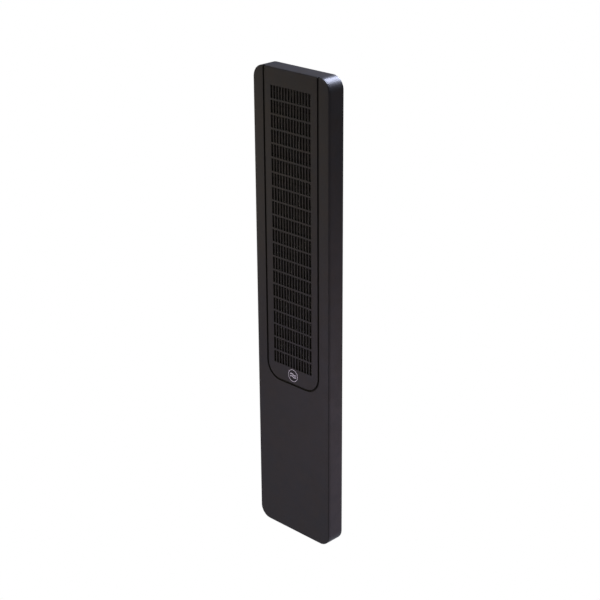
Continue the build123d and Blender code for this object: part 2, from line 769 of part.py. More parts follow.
with BuildPart() as motor_base:
    with BuildSketch(depth(MOTOR_BASE_H)):
        ring(MOTOR_BASE_R, SHAFT_R + 0.5)
        with Locations(*MOTOR_SPOTS):
            Circle(SCREW_R, mode=Mode.SUBTRACT)
    extrude(amount=MOTOR_BASE_T)
    with BuildSketch(depth(TUBE_END_H)):
        ring(BEARING_TUBE_R, BEARING_R)
    extrude(amount=MOTOR_BASE_H - TUBE_END_H)
save(motor_base, "motor_base", STEEL)

with BuildPart() as bearings:
    for bearing_h in BEARING_BACK_HS:
        with BuildSketch(depth(bearing_h)):
            ring(BEARING_R, SHAFT_R + SHAFT_GAP)
        extrude(amount=BEARING_W)
save(bearings, "bearings", STEEL)

with BuildPart() as stator_core:
    with BuildSketch(depth(CORE_H)):
        ring(STATOR_R, 0)
        ring(TOOTH_OUT, 0)
    extrude(amount=CORE_T)
    with BuildSketch(depth(CORE_H)):
        ring(TOOTH_OUT, TOOTH_IN)
    extrude(amount=CORE_T, mode=Mode.SUBTRACT)
    with BuildSketch(depth(CORE_H)):
        with Locations((WHEEL_X, WHEEL_Z)):
            with PolarLocations((STATOR_R + TOOTH_IN) / 2 - 1.0, STATOR_TEETH):
                Rectangle(STATOR_R - TOOTH_IN, TOOTH_W)
    extrude(amount=CORE_T)
    with BuildSketch(depth(CORE_H)):
        with Locations((WHEEL_X, WHEEL_Z)):
            with PolarLocations(STATOR_R, STATOR_TEETH, start_angle=180 / STATOR_TEETH):
                Rectangle(8.0, 2.0)
        ring(BEARING_TUBE_R, 0)
    extrude(amount=CORE_T, mode=Mode.SUBTRACT)
save(stator_core, "stator_core", STEEL)

with BuildPart() as stator_windings:
    with BuildSketch(depth(CORE_H - COIL_OVER)):
        with Locations((WHEEL_X, WHEEL_Z)):
            with PolarLocations((TOOTH_IN + TOOTH_OUT) / 2 + 1.0, STATOR_TEETH):
                Rectangle(TOOTH_OUT - TOOTH_IN - 2.8, COIL_W)
    extrude(amount=CORE_T + 2 * COIL_OVER)
    with BuildSketch(depth(CORE_H)):
        with Locations((WHEEL_X, WHEEL_Z)):
            with PolarLocations((TOOTH_IN + TOOTH_OUT) / 2, STATOR_TEETH):
                Rectangle(TOOTH_OUT, TOOTH_W)
    extrude(amount=CORE_T, mode=Mode.SUBTRACT)
save(stator_windings, "stator_windings", COPPER)

with BuildPart() as motor_board:
    with BuildSketch(depth(33.8)):
        ring(17.0, BEARING_TUBE_R + 0.3)
    extrude(amount=1.0)
save(motor_board, "motor_board", GREEN)

# The flat motor cable runs over the casing's front plate and turns back to the control board.
with BuildPart() as motor_cable:
    with BuildSketch(Plane.YZ.offset(CABLE_X - CABLE_W / 2)):
        with BuildLine() as cable_line:
            FilletPolyline(
                (-CABLE_H, CABLE_START_Z),
                (-CABLE_H, WHEEL_Z + 94.0),
                (-BOARD_H - BOARD_T - 1.0, WHEEL_Z + 94.0),
                (-BOARD_H - BOARD_T - 1.0, WHEEL_Z + 101.0),
                radius=2.0,
            )
        trace(cable_line.line, CABLE_T)
    extrude(amount=CABLE_W)
save(motor_cable, "motor_cable", WHITE)

# ---------------------------------------------------------------- electronics
BOARD_TOP_H = BOARD_H + BOARD_T


def save_board(label, board):
    """Write one bare circuit board with its four screw holes."""
    with BuildPart() as plate:
        with BuildSketch(depth(BOARD_H)):
            with Locations((board[0], board[1])):
                RectangleRounded(board[2], board[3], 2.0)
            with Locations(*board_spots(board)):
                Circle(SCREW_R + 0.2, mode=Mode.SUBTRACT)
        extrude(amount=BOARD_T)
    save(plate, label, GREEN)


save_board("power_board", POWER_BOARD)
save_board("control_board", CONTROL_BOARD)

with BuildPart() as transformer:
    with BuildSketch(depth(BOARD_TOP_H)):
        with Locations((-30.0, -415.0)):
            Rectangle(24.0, 20.0)
    extrude(amount=15.0)
    with BuildSketch(depth(BOARD_TOP_H + 2.0)):
        with Locations((-30.0, -415.0)):
            Rectangle(17.0, 26.0)
    extrude(amount=11.0)
save(transformer, "transformer", DARK)

with BuildPart() as mains_capacitor:
    with BuildSketch(Plane.XY.offset(-400.0)):
        with Locations((-62.0, -BOARD_TOP_H - 7.0)):
            Circle(7.0)
    extrude(amount=22.0)
    fillet(mains_capacitor.edges(), 0.8)
save(mains_capacitor, "mains_capacitor", DARK)

with BuildPart() as heat_sink:
    with BuildSketch(depth(BOARD_TOP_H)):
        with Locations((-30.0, -388.0)):
            Rectangle(34.0, 2.0)
            with GridLocations(4.0, 0, 8, 1):
                with Locations((0, 3.5)):
                    Rectangle(1.2, 6.0)
    extrude(amount=13.0)
save(heat_sink, "heat_sink", STEEL)

with BuildPart() as control_parts:
    with BuildSketch(depth(BOARD_TOP_H)):
        with Locations((-10.0, -178.0)):
            Rectangle(9.0, 9.0)
        with Locations((-32.0, -178.0)):
            Rectangle(6.0, 5.0)
        with Locations((40.0, -172.0)):
            Rectangle(10.0, 6.0)
    extrude(amount=1.4)
save(control_parts, "control_parts", DARK)

with BuildPart() as wire_sockets:
    with BuildSketch(depth(BOARD_TOP_H)):
        with Locations((-58.0, -459.0)):
            Rectangle(24.0, 8.0)
        with Locations((-76.0, -400.0)):
            Rectangle(6.0, 12.0)
        with Locations((-44.0, -178.0)):
            Rectangle(10.0, 6.0)
        with Locations((CABLE_X, WHEEL_Z + 103.5)):
            Rectangle(CABLE_W + 3.0, 5.0)
    extrude(amount=7.0)
save(wire_sockets, "wire_sockets", WHITE)

SENSOR_AT = (39.0, -141.0)
SENSOR_W = 38.0
SENSOR_TALL = 20.0
SENSOR_T = 12.0

with BuildPart() as air_sensor:
    with BuildSketch(depth(CHASSIS_FRONT_H + 0.2)):
        with Locations(SENSOR_AT):
            RectangleRounded(SENSOR_W, SENSOR_TALL, 1.0)
    extrude(amount=SENSOR_T)
    with BuildSketch(depth(CHASSIS_FRONT_H + SENSOR_T - 3.0)):
        with Locations((SENSOR_AT[0] - 9.0, SENSOR_AT[1])):
            Circle(4.5)
        with Locations((SENSOR_AT[0] + 8.0, SENSOR_AT[1])):
            with GridLocations(3.0, 0, 4, 1):
                Rectangle(1.4, 10.0)
    extrude(amount=5.0, mode=Mode.SUBTRACT)
save(air_sensor, "air_sensor", STEEL)

with BuildPart() as reed_switch:
    with BuildSketch(depth(LIP_FRONT_H - LEDGE_T - 3.5)):
        with Locations((-12.0, -151.0)):
            RectangleRounded(16.0, 6.0, 1.0)
    extrude(amount=3.5)
save(reed_switch, "reed_switch", WHITE)

# ---------------------------------------------------------------- bottom edge fittings
# The mains inlet, rocker switch and button point down through the bottom wall.
OUTER_Z = -HALF_H
FIT_GAP = 0.2
SOCKET_LEN = 18.6
SOCKET_WIDE = 9.6
SOCKET_DEEP = 12.0

with BuildPart() as power_inlet:
    with BuildSketch(floor_plane(OUTER_Z)):
        with Locations((INLET_X, -BOTTOM_MID_H)):
            RectangleRounded(INLET_W - FIT_GAP, INLET_D - FIT_GAP, 1.9)
    extrude(amount=INLET_DEEP)
    with BuildSketch(floor_plane(BOTTOM_IN + FIT_GAP)):
        with Locations((INLET_X, -BOTTOM_MID_H)):
            Rectangle(INLET_W + 4.0, INLET_D)
    extrude(amount=1.8)
    with BuildSketch(floor_plane(OUTER_Z)):
        with Locations((INLET_X, -BOTTOM_MID_H)):
            with GridLocations(SOCKET_LEN - SOCKET_WIDE, 0, 2, 1):
                Circle(SOCKET_WIDE / 2)
            Rectangle(SOCKET_LEN - SOCKET_WIDE, SOCKET_WIDE - 1.6)
    extrude(amount=SOCKET_DEEP, mode=Mode.SUBTRACT)
    with BuildSketch(floor_plane(OUTER_Z)):
        with Locations((INLET_X, -BOTTOM_MID_H)):
            with GridLocations(PIN_SPACING, 0, 2, 1):
                Circle(PIN_R)
    extrude(amount=INLET_DEEP, mode=Mode.SUBTRACT)
save(power_inlet, "power_inlet", DARK)

with BuildPart() as inlet_pins:
    with BuildSketch(floor_plane(OUTER_Z + 3.0)):
        with Locations((INLET_X, -BOTTOM_MID_H)):
            with GridLocations(PIN_SPACING, 0, 2, 1):
                Circle(PIN_R)
    extrude(amount=INLET_DEEP)
    fillet(inlet_pins.edges().group_by(Axis.Z)[0], 0.5)
save(inlet_pins, "inlet_pins", BRASS)

ROCKER_WELL_W = 15.4
ROCKER_WELL_D = 9.4
ROCKER_DEEP = 16.0
ROCKER_PIVOT_Z = OUTER_Z + 5.6
ROCKER_LEN = 14.6
ROCKER_WIDE = 8.6
ROCKER_T = 4.2
ROCKER_PIN_R = 1.2
PIVOT_GAP = 0.05

with BuildPart() as rocker_frame:
    with BuildSketch(floor_plane(OUTER_Z)):
        with Locations((ROCKER_X, -BOTTOM_MID_H)):
            Rectangle(ROCKER_W - FIT_GAP, ROCKER_D - FIT_GAP)
    extrude(amount=ROCKER_DEEP)
    with BuildSketch(floor_plane(OUTER_Z)):
        with Locations((ROCKER_X, -BOTTOM_MID_H)):
            Rectangle(ROCKER_WELL_W, ROCKER_WELL_D)
    extrude(amount=10.0, mode=Mode.SUBTRACT)
    with BuildSketch(depth(BOTTOM_MID_H - ROCKER_WELL_D / 2 - 1.0)):
        with Locations((ROCKER_X, ROCKER_PIVOT_Z)):
            Circle(ROCKER_PIN_R + PIVOT_GAP)
    extrude(amount=ROCKER_WELL_D + 2.0, mode=Mode.SUBTRACT)
save(rocker_frame, "rocker_frame", DARK)

# The rocker is drawn tilted to its off side, about its pin, which runs along y.
ROCKER_PLANE = Plane((ROCKER_X, -BOTTOM_MID_H, ROCKER_PIVOT_Z)).rotated((0, ROCKER_TILT, 0))

with BuildPart() as rocker:
    with BuildSketch(ROCKER_PLANE.offset(-ROCKER_T)):
        Rectangle(ROCKER_LEN - 1.0, ROCKER_WIDE)
    extrude(amount=ROCKER_T)
    press_face = rocker.faces().sort_by(Axis.Z)[0]
    fillet(press_face.edges(), SOFT_EDGE)
    with BuildSketch(depth(BOTTOM_MID_H - ROCKER_WELL_D / 2 - 0.8)):
        with Locations((ROCKER_X, ROCKER_PIVOT_Z)):
            Circle(ROCKER_PIN_R)
    extrude(amount=ROCKER_WELL_D + 1.6)
save(rocker, "rocker", BLACK)

BUTTON_TOP_Z = BOTTOM_IN + 5.0
BUTTON_COLLAR_R = 5.6
BUTTON_COLLAR_T = 1.0

with BuildPart() as mode_button:
    with BuildSketch(floor_plane(OUTER_Z)):
        with Locations((BUTTON_X, -BOTTOM_MID_H)):
            Circle(BUTTON_R)
    extrude(amount=BUTTON_TOP_Z - OUTER_Z)
    fillet(mode_button.edges().sort_by(Axis.Z)[0], 0.6)
    with BuildSketch(floor_plane(BOTTOM_IN + BUTTON_GAP)):
        with Locations((BUTTON_X, -BOTTOM_MID_H)):
            Circle(BUTTON_COLLAR_R)
    extrude(amount=BUTTON_COLLAR_T)
save(mode_button, "mode_button", BLACK)

SWITCH_BACK_Z = BUTTON_TOP_Z + BUTTON_TRAVEL + BUTTON_GAP

with BuildPart() as button_switch:
    with BuildSketch(floor_plane(SWITCH_BACK_Z)):
        with Locations((BUTTON_X, -BOTTOM_MID_H)):
            Rectangle(6.0, 6.0)
    extrude(amount=3.4)
    with BuildSketch(floor_plane(SWITCH_BACK_Z + 3.4)):
        with Locations((BUTTON_X, -BOTTOM_MID_H)):
            Rectangle(14.0, 14.0)
    extrude(amount=1.2)
save(button_switch, "button_switch", GREEN)

with BuildPart() as outlet_louvre:
    with BuildSketch(floor_plane(OUTER_Z)):
        with Locations((LOUVRE_X, -LOUVRE_MID_H)):
            RectangleRounded(LOUVRE_W - FIT_GAP, LOUVRE_D - FIT_GAP, 1.9)
            Rectangle(LOUVRE_W - 3.6, LOUVRE_D - 3.6, mode=Mode.SUBTRACT)
    extrude(amount=WALL)
    with BuildSketch(floor_plane(OUTER_Z)):
        with Locations((LOUVRE_X, -LOUVRE_MID_H)):
            with GridLocations(LOUVRE_W / (LOUVRE_SLATS + 1), 0, LOUVRE_SLATS, 1):
                Rectangle(1.2, LOUVRE_D - 3.0)
    extrude(amount=WALL - 0.3)
save(outlet_louvre, "outlet_louvre", BLACK)

# ---------------------------------------------------------------- wall fixing
HOOK_FLOOR_H = POCKET_FLOOR_H + WALL + 0.4

with BuildPart() as wall_bracket:
    with BuildSketch(depth(0)):
        RectangleRounded(BRACKET_W, BRACKET_H, 5.0)
        with GridLocations(WALL_HOLE_DX, WALL_HOLE_DZ, 2, 2):
            Circle(WALL_HOLE_R, mode=Mode.SUBTRACT)
    extrude(amount=BRACKET_T)
    with BuildSketch(depth(BRACKET_T)):
        with GridLocations(2 * HOOK_X, 2 * HOOK_Z, 2, 2):
            Rectangle(HOOK_W, BRACKET_T)
    extrude(amount=HOOK_FLOOR_H)
    with BuildSketch(depth(HOOK_FLOOR_H)):
        with GridLocations(2 * HOOK_X, 2 * HOOK_Z, 2, 2):
            with Locations((0, HOOK_RISE / 2)):
                Rectangle(HOOK_W, HOOK_RISE + BRACKET_T)
    extrude(amount=BRACKET_T)
save(wall_bracket, "wall_bracket", STEEL)

with BuildPart() as wall_pads:
    with BuildSketch(depth(0)):
        with Locations(*PAD_SPOTS):
            Circle(PAD_R)
    extrude(amount=PAD_T)
    fillet(wall_pads.edges().group_by(Axis.Y)[-1], 0.4)
save(wall_pads, "wall_pads", RUBBER)

# ---------------------------------------------------------------- fasteners and wires
save_screws("housing_screws", SCREW_SPOTS, (3.8, 6.0), (6.0, 30.0), STEEL)
save_screws("scroll_screws", SCROLL_EARS, (22.0, 24.2), (CHASSIS_H, 22.0), STEEL)
save_screws(
    "chassis_screws",
    CHASSIS_SPOTS,
    (CHASSIS_FRONT_H, CHASSIS_FRONT_H + 2.2),
    (CHASSIS_SCREW_TIP_H, CHASSIS_FRONT_H),
    STEEL,
)
save_screws("motor_screws", MOTOR_SPOTS, (SCROLL_FRONT_H, 39.3), (MOTOR_BASE_H, SCROLL_FRONT_H), STEEL)
save_screws("board_screws", BOARD_SPOTS, (BOARD_TOP_H, BOARD_TOP_H + 2.2), (CHASSIS_H, BOARD_TOP_H), STEEL)

INLET_TABS = (INLET_X - PIN_SPACING / 2, INLET_X + PIN_SPACING / 2)
WIRE_FOOT_Z = OUTER_Z + INLET_DEEP + 3.4
SOCKET_FOOT_Z = -463.2
ROCKER_TOP_Z = OUTER_Z + ROCKER_DEEP + 0.2
MAINS_ROUTES = [
    [
        (INLET_TABS[0], BOTTOM_MID_H, WIRE_FOOT_Z),
        (INLET_TABS[0], BOTTOM_MID_H, -470.0),
        (-66.0, 24.5, -468.0),
        (-66.0, 24.5, SOCKET_FOOT_Z),
    ],
    [
        (INLET_TABS[1], BOTTOM_MID_H, WIRE_FOOT_Z),
        (INLET_TABS[1], BOTTOM_MID_H, -472.0),
        (-37.0, BOTTOM_MID_H, -472.0),
        (-37.0, BOTTOM_MID_H, ROCKER_TOP_Z),
    ],
    [
        (-28.0, BOTTOM_MID_H, ROCKER_TOP_Z),
        (-28.0, BOTTOM_MID_H, -474.0),
        (-28.0, 31.0, -468.0),
        (-50.0, 31.0, -468.0),
        (-50.0, 24.5, -467.5),
        (-50.0, 24.5, SOCKET_FOOT_Z),
    ],
]
LOW_WIRE_ROUTES = [
    [
        (-80.2, h, -400.0),
        (-88.0, h, -392.0),
        (-96.6, h, -372.0),
        (-96.6, h, -216.0),
        (-84.0, h, -182.0),
        (-49.2, h, -178.0),
    ]
    for h in (22.2, 25.2)
]
SENSOR_ROUTES = [[(x, 21.8, -168.6), (x, 23.0, -160.0), (x, 21.8, -151.4)] for x in (38.0, 40.5, 43.0)]

save_wires("mains_wires", MAINS_ROUTES, 1.5, DARK)
save_wires("low_voltage_wires", LOW_WIRE_ROUTES, 4.0, RUBBER)
save_wires("sensor_wires", SENSOR_ROUTES, 2.0, RUBBER)
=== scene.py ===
"""Studio model of a slim wall-hung air purifier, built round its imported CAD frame."""

import json
import math

import bmesh
import bpy
from mathutils import Matrix, Vector


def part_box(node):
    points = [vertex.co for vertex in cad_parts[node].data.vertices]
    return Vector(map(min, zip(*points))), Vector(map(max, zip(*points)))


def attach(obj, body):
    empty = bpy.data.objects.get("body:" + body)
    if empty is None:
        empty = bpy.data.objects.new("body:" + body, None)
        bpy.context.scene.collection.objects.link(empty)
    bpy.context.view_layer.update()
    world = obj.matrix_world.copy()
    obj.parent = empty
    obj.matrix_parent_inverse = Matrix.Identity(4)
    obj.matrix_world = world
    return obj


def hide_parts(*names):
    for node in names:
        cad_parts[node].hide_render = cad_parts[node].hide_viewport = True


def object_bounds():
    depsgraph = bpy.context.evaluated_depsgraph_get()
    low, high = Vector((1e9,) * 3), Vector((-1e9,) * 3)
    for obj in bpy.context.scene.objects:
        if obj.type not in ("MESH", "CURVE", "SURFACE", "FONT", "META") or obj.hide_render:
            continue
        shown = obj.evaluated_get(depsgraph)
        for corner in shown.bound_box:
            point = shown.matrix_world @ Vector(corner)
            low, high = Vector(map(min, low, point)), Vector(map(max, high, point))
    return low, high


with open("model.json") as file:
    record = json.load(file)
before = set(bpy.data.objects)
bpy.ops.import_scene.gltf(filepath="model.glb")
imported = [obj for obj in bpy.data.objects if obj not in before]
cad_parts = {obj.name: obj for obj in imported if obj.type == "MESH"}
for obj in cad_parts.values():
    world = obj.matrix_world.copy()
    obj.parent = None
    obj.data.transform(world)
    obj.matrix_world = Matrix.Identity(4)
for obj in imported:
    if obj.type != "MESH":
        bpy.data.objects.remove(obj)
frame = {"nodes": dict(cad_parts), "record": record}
CAD_LOW, CAD_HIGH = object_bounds()
CENTRE = (CAD_LOW + CAD_HIGH) / 2
NODES = frame["nodes"]
SLOT_OF = {part["node"]: part["material_slot"] for part in frame["record"]["subparts"]}
BEHAVIOUR = frame["record"]["behaviour"]
BODY_OF = {node: body for body, nodes in BEHAVIOUR["bodies"].items() for node in nodes}
JOINTS = {joint["name"]: joint for joint in BEHAVIOUR["joints"]}
MM = 0.001


# ---------------------------------------------------------------- material building blocks
# The range that holds nearly all of a noise texture's factor.
NOISE_LOW, NOISE_HIGH = 0.3, 0.7
# Metres from one ridge of a wave texture to the next, at a scale of 1.
WAVE_PERIOD = 0.314
# A mix node's sockets go by number, because each kind of data has its own A and B.
MIX_FACTOR = 0
MIX_NUMBERS = {"A": 2, "B": 3, "out": 0}
MIX_COLOURS = {"A": 6, "B": 7, "out": 2}


class Shader:
    """One node material with a Principled BSDF and short calls for the nodes it needs."""

    def __init__(self, name, colour, roughness, **sockets):
        self.material = bpy.data.materials.new(name)
        self.material.use_nodes = True
        self.tree = self.material.node_tree
        self.surface = self.tree.nodes["Principled BSDF"]
        self.surface.inputs["Base Color"].default_value = (*colour, 1.0)
        self.surface.inputs["Roughness"].default_value = roughness
        for socket, value in sockets.items():
            self.surface.inputs[socket.replace("_", " ").title()].default_value = value
        self.colour = colour
        self.roughness = roughness
        self.place = self.node("ShaderNodeTexCoord").outputs["Object"]

    def node(self, kind, **settings):
        """A new node with its settings, such as its operation."""
        made = self.tree.nodes.new(kind)
        for key, value in settings.items():
            setattr(made, key, value)
        return made

    def link(self, source, target):
        self.tree.links.new(source, target)

    def stretched(self, scale):
        """Object coordinates multiplied by scale along each axis."""
        mapping = self.node("ShaderNodeMapping")
        mapping.inputs["Scale"].default_value = scale
        self.link(self.place, mapping.inputs["Vector"])
        return mapping.outputs["Vector"]

    def noise(self, size, detail=3.0, place=None):
        """Noise whose features are about size metres across, as a factor from 0 to 1."""
        made = self.node("ShaderNodeTexNoise")
        made.inputs["Scale"].default_value = 1.0 / size
        made.inputs["Detail"].default_value = detail
        self.link(place or self.place, made.inputs["Vector"])
        return made.outputs["Fac"]

    def cells(self, size):
        """Distance to the nearest of scattered points that are about size metres apart."""
        made = self.node("ShaderNodeTexVoronoi")
        made.inputs["Scale"].default_value = 1.0 / size
        self.link(self.place, made.inputs["Vector"])
        return made.outputs["Distance"]

    def waves(self, size, axis):
        """Parallel ridges, size metres apart along axis."""
        made = self.node("ShaderNodeTexWave", bands_direction=axis)
        made.inputs["Scale"].default_value = WAVE_PERIOD / size
        self.link(self.place, made.inputs["Vector"])
        return made.outputs["Fac"]

    def spread(self, factor, from_range, to_range):
        """factor moved in proportion from one range (low, high) to another."""
        made = self.node("ShaderNodeMapRange")
        sockets = ("From Min", "From Max", "To Min", "To Max")
        for socket, value in zip(sockets, (*from_range, *to_range)):
            made.inputs[socket].default_value = value
        self.link(factor, made.inputs["Value"])
        return made.outputs["Result"]

    def inside(self, low, high, soft):
        """1 inside the box from low to high, fading to 0 over soft metres outside it."""
        away = self.place
        steps = (("SUBTRACT", (low + high) / 2), ("ABSOLUTE", None), ("SUBTRACT", (high - low) / 2))
        for operation, amount in steps:
            step = self.node("ShaderNodeVectorMath", operation=operation)
            self.link(away, step.inputs[0])
            if amount is not None:
                step.inputs[1].default_value = amount
            away = step.outputs["Vector"]
        split = self.node("ShaderNodeSeparateXYZ")
        self.link(away, split.inputs["Vector"])
        furthest = split.outputs["X"]
        for axis in ("Y", "Z"):
            larger = self.node("ShaderNodeMath", operation="MAXIMUM")
            self.link(furthest, larger.inputs[0])
            self.link(split.outputs[axis], larger.inputs[1])
            furthest = larger.outputs["Value"]
        return self.spread(furthest, (0.0, soft), (1.0, 0.0))

    def blend(self, socket, factor, data_type, numbers, value):
        """Where factor is 1, the surface's socket has this value instead of what feeds it."""
        target = self.surface.inputs[socket]
        mix = self.node("ShaderNodeMix", data_type=data_type)
        self.link(factor, mix.inputs[MIX_FACTOR])
        self.link(target.links[0].from_socket, mix.inputs[numbers["A"]])
        mix.inputs[numbers["B"]].default_value = value
        self.link(mix.outputs[numbers["out"]], target)

    def recolour(self, factor, colour, roughness):
        """Where factor is 1, the surface has this colour and roughness instead."""
        self.blend("Base Color", factor, "RGBA", MIX_COLOURS, (*colour, 1.0))
        self.blend("Roughness", factor, "FLOAT", MIX_NUMBERS, roughness)
        return self

    def tint(self, factor, dark, light):
        """Base colour between two colours, by factor."""
        ramp = self.node("ShaderNodeValToRGB")
        stops = zip(ramp.color_ramp.elements, (NOISE_LOW, NOISE_HIGH), (dark, light))
        for stop, position, colour in stops:
            stop.position = position
            stop.color = (*colour, 1.0)
        self.link(factor, ramp.inputs["Fac"])
        self.link(ramp.outputs["Color"], self.surface.inputs["Base Color"])
        return self

    def vary(self, size, amount):
        """Soft patches of slightly lighter and darker base colour."""
        dark = [c * (1.0 - amount) for c in self.colour]
        light = [c * (1.0 + amount) for c in self.colour]
        return self.tint(self.noise(size), dark, light)

    def polish(self, size, amount):
        """Roughness that wanders by amount each way over patches of a given size."""
        to_range = (self.roughness - amount, self.roughness + amount)
        wander = self.spread(self.noise(size), (NOISE_LOW, NOISE_HIGH), to_range)
        self.link(wander, self.surface.inputs["Roughness"])
        return self

    def relief(self, *heights):
        """Bumps from pairs of (height factor, depth in metres), laid on one another."""
        normal = None
        for factor, deep in heights:
            bump = self.node("ShaderNodeBump")
            bump.inputs["Distance"].default_value = deep
            self.link(factor, bump.inputs["Height"])
            if normal is not None:
                self.link(normal, bump.inputs["Normal"])
            normal = bump.outputs["Normal"]
        self.link(normal, self.surface.inputs["Normal"])
        return self


def mould_finish(shader, grain=0.6 * MM, deep=0.012 * MM):
    """The fine spark-eroded grain of a mould, and faint patches of polish."""
    shader.polish(28 * MM, 0.04)
    return shader.relief((shader.noise(grain, 2.0), deep), (shader.cells(grain * 0.7), deep * 0.5))


def moulded(name, colour, roughness, **grain):
    """Moulded plastic of nearly one colour."""
    return mould_finish(Shader(name, colour, roughness).vary(40 * MM, 0.06), **grain)


def metal(name, colour, roughness, brushed=None):
    """Bare or plated metal. brushed is a stretch along each axis for drawn-out marks."""
    shader = Shader(name, colour, roughness, metallic=1.0)
    place = shader.stretched(brushed) if brushed else None
    shader.vary(12 * MM, 0.08).polish(5 * MM, 0.06)
    return shader.relief((shader.noise(0.5 * MM, 4.0, place), 0.004 * MM))


def cloth(name, colour, thread, deep):
    """Woven cloth with two crossing sets of threads."""
    shader = Shader(name, colour, 0.85, sheen_weight=0.25)
    shader.vary(6 * MM, 0.15)
    return shader.relief((shader.waves(thread, "X"), deep), (shader.waves(thread, "Z"), deep))


# The cover's mean colour, and the cool and the warm colour that its faint patches run between.
COVER_COLOUR = (0.030, 0.028, 0.0275)
COVER_COOL = (0.0270, 0.0272, 0.0295)
COVER_WARM = (0.0335, 0.0285, 0.0255)
COVER_ROUGHNESS = 0.40
# Painted shade: the darker olive colour given to surfaces recessed in the slots and the groove.
SLOT_SHADE_COLOUR = (0.018, 0.0165, 0.0100)
CUT_ROUGHNESS = 0.8
# Painted shade darkens the slots and the groove, which lie in one box: half its width, its foot,
# how far it stays below the object's top, where it starts and ends behind the front face, and how
# softly it ends.
CUT_HALF = 78 * MM
CUT_BOTTOM = -160 * MM
CUT_BELOW_TOP = 2.5 * MM
CUT_START = 0.8 * MM
CUT_END = 5 * MM
CUT_FADE = 0.4 * MM


def cover_plastic():
    """Black grained housing plastic, with painted shade in its slots and grooves: a darker olive
    colour there, and a rougher finish.
    """
    shader = Shader("cover_plastic", COVER_COLOUR, COVER_ROUGHNESS)
    shader.tint(shader.noise(30 * MM), COVER_COOL, COVER_WARM)
    mould_finish(shader)
    low = Vector((-CUT_HALF, CAD_LOW.y + CUT_START, CUT_BOTTOM))
    high = Vector((CUT_HALF, CAD_LOW.y + CUT_END, CAD_HIGH.z - CUT_BELOW_TOP))
    # Painted shade: surfaces in the box behind the front face take the darker slot colour and a
    # higher roughness.
    return shader.recolour(shader.inside(low, high, CUT_FADE), SLOT_SHADE_COLOUR, CUT_ROUGHNESS)


LOOKS = {
    "cover_plastic": cover_plastic(),
    "badge_black": moulded("badge_black", (0.02, 0.02, 0.022), 0.22, deep=0.002 * MM),
    "badge_silver": metal("badge_silver", (0.84, 0.84, 0.85), 0.28),
    "inner_plastic": moulded("inner_plastic", (0.010, 0.010, 0.011), 0.55, grain=0.9 * MM),
    "wheel_plastic": moulded("wheel_plastic", (0.07, 0.07, 0.075), 0.5),
    "filter_frame_plastic": moulded("filter_frame_plastic", (0.55, 0.55, 0.53), 0.5),
    "filter_paper": cloth("filter_paper", (0.75, 0.75, 0.72), 0.8 * MM, 0.02 * MM),
    "carbon": cloth("carbon", (0.012, 0.012, 0.012), 1.6 * MM, 0.10 * MM),
    "foam": moulded("foam", (0.03, 0.03, 0.03), 0.9, grain=0.8 * MM, deep=0.25 * MM),
    "net": cloth("net", (0.05, 0.046, 0.03), 0.2 * MM, 0.01 * MM),
    "ribbon": cloth("ribbon", (0.03, 0.03, 0.032), 0.5 * MM, 0.05 * MM),
    "rubber": moulded("rubber", (0.018, 0.018, 0.018), 0.7, grain=0.5 * MM),
    "zinc_steel": metal("zinc_steel", (0.55, 0.56, 0.57), 0.34),
    "ground_steel": metal("ground_steel", (0.6, 0.6, 0.6), 0.2, brushed=(1, 12, 1)),
    "magnet_nickel": metal("magnet_nickel", (0.6, 0.57, 0.52), 0.18),
    "core_steel": metal("core_steel", (0.2, 0.2, 0.21), 0.45, brushed=(1, 15, 1)),
    "ferrite": moulded("ferrite", (0.02, 0.02, 0.022), 0.5),
    "copper": metal("copper", (0.65, 0.27, 0.12), 0.3, brushed=(1, 8, 1)),
    "aluminium": metal("aluminium", (0.7, 0.7, 0.71), 0.35, brushed=(1, 10, 1)),
    "circuit_board": moulded("circuit_board", (0.01, 0.09, 0.04), 0.35, grain=2 * MM),
    "component_black": moulded("component_black", (0.015, 0.015, 0.015), 0.45),
    "socket_plastic": moulded("socket_plastic", (0.65, 0.64, 0.58), 0.4),
    "pin_metal": metal("pin_metal", (0.62, 0.55, 0.36), 0.22),
    "ribbon_cable": moulded("ribbon_cable", (0.6, 0.6, 0.6), 0.4),
    "wire_cover": moulded("wire_cover", (0.015, 0.015, 0.015), 0.5),
}


def dress_cad():
    """Give each CAD node its slot's material."""
    for name, piece in NODES.items():
        piece.data.materials.clear()
        piece.data.materials.append(LOOKS[SLOT_OF[name]].material)


# ---------------------------------------------------------------- pieces made here
def add_prism(mesh, centre, along, across, thick):
    """A closed bar: centre is its middle, and the others are its three half-length vectors."""
    corners = [
        mesh.verts.new(centre + i * along + j * across + k * thick)
        for i in (-1, 1)
        for j, k in ((-1, -1), (1, -1), (1, 1), (-1, 1))
    ]
    near, far = corners[:4], corners[4:]
    mesh.faces.new(near[::-1])
    mesh.faces.new(far)
    for i in range(4):
        j = (i + 1) % 4
        mesh.faces.new((near[i], near[j], far[j], far[i]))


def add_piece(name, mesh, body, slot):
    """Turn a bmesh into an object that rides on a body and has a slot's material."""
    bmesh.ops.recalc_face_normals(mesh, faces=mesh.faces)
    data = bpy.data.meshes.new(name)
    mesh.to_mesh(data)
    mesh.free()
    data.materials.append(LOOKS[slot].material)
    made = bpy.data.objects.new(name, data)
    bpy.context.scene.collection.objects.link(made)
    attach(made, body)
    return made


NET_PITCH = 1.2 * MM
NET_THREAD = 0.5 * MM


